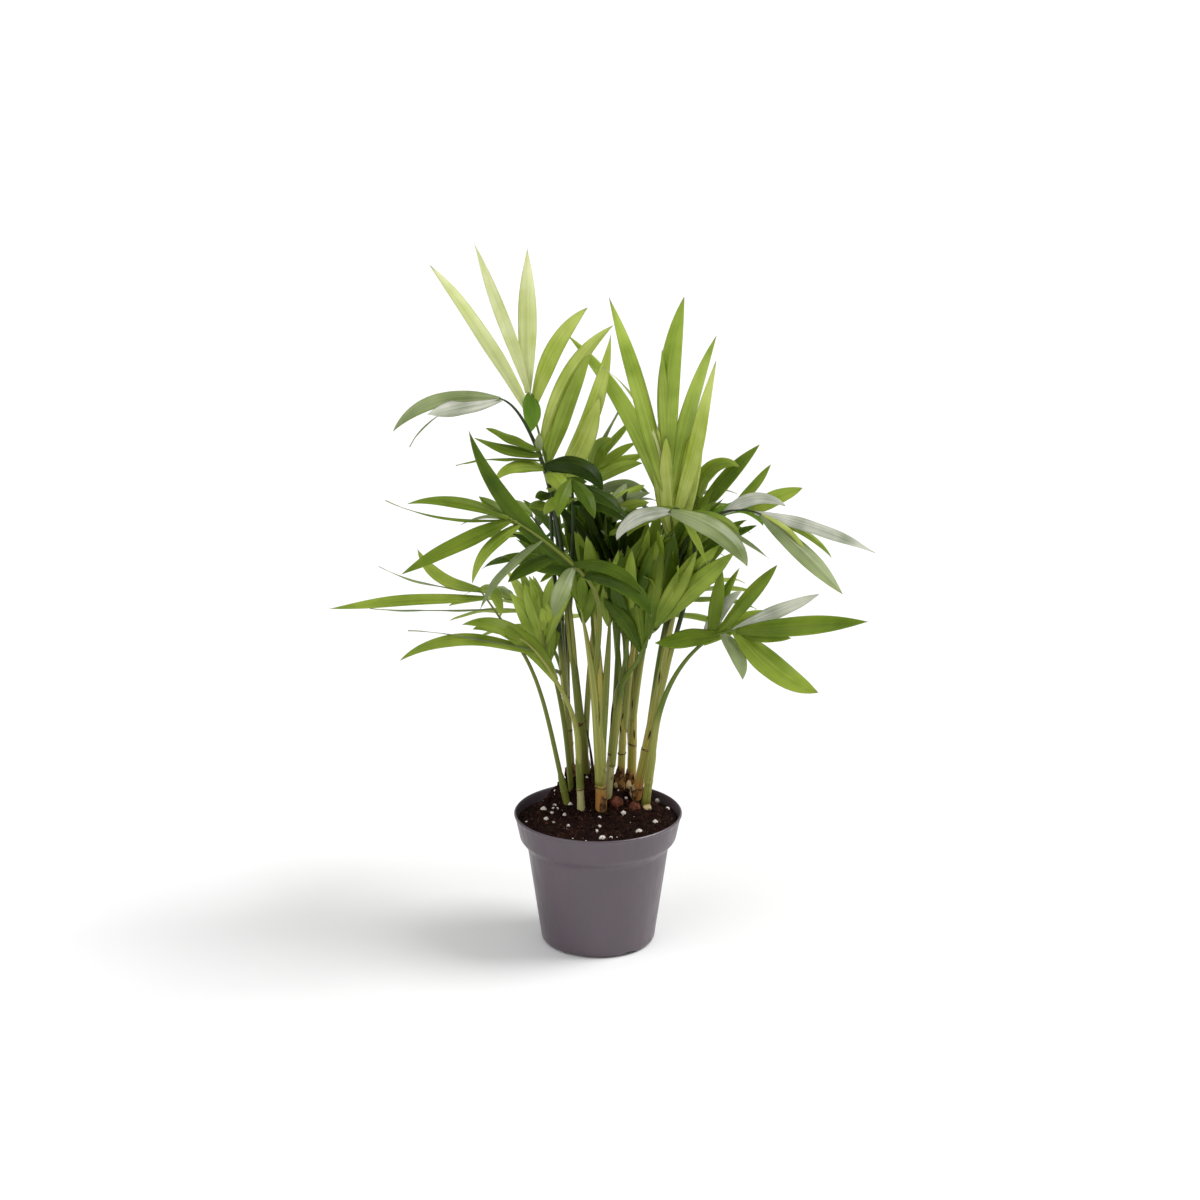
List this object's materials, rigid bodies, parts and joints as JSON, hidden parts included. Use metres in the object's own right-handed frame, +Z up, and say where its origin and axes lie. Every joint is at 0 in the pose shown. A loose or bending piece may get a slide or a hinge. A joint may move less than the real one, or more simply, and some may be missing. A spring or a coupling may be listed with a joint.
{
  "type": "potted parlour palm",
  "caption": "Young clump-forming parlour palm in a tapered nursery pot: slender canes rising from peat, with arching feathered fronds all round.",
  "frame": {"origin": "centre of the pot's flat underside, on the surface that the pot stands on", "axes": "+Z up, from the pot's underside to the tips of the fronds; the plant's front faces -Y and its right side is +X"},
  "size_m": [0.3761, 0.2632, 0.5058],
  "materials": {
    "pot": "satin taupe-grey moulded polypropylene, slightly lighter along the lip",
    "soil": "matt, crumbly, dark brown peat with reddish fibres and white perlite",
    "cane": "smooth satin leaf sheaths, pale olive to yellow-green, tan and papery near the soil",
    "leaf_young": "satin, thin, yellow-lime young leaflets with fine lengthwise veins",
    "leaf_mid": "satin mid-green leaflets with fine lengthwise veins",
    "leaf_deep": "glossier deep-green mature leaflets with fine lengthwise veins"
  },
  "bodies": {
    "root": {"pot": "pot", "soil": "soil", "cane_1": "cane", "cane_2": "cane", "cane_3": "cane", "cane_4": "cane", "cane_5": "cane", "cane_6": "cane", "cane_7": "cane", "cane_8": "cane", "cane_9": "cane", "cane_10": "cane", "frond_top_left": "leaf_young", "frond_top_right": "leaf_young", "frond_low_young": "leaf_young", "frond_front_left": "leaf_mid", "frond_low_left": "leaf_mid", "frond_lowest_left": "leaf_mid", "frond_low_right": "leaf_mid", "frond_upper_right": "leaf_mid", "frond_inner_left": "leaf_mid", "frond_back_top": "leaf_mid", "frond_back_low_left": "leaf_mid", "frond_back_low_right": "leaf_mid", "frond_high_left": "leaf_deep", "frond_front_right": "leaf_deep", "frond_right": "leaf_deep", "frond_middle_right": "leaf_deep", "frond_centre": "leaf_deep", "frond_inner_front": "leaf_deep", "frond_back_left": "leaf_deep", "frond_back": "leaf_deep", "frond_back_right": "leaf_deep"}
  },
  "joints": []
}
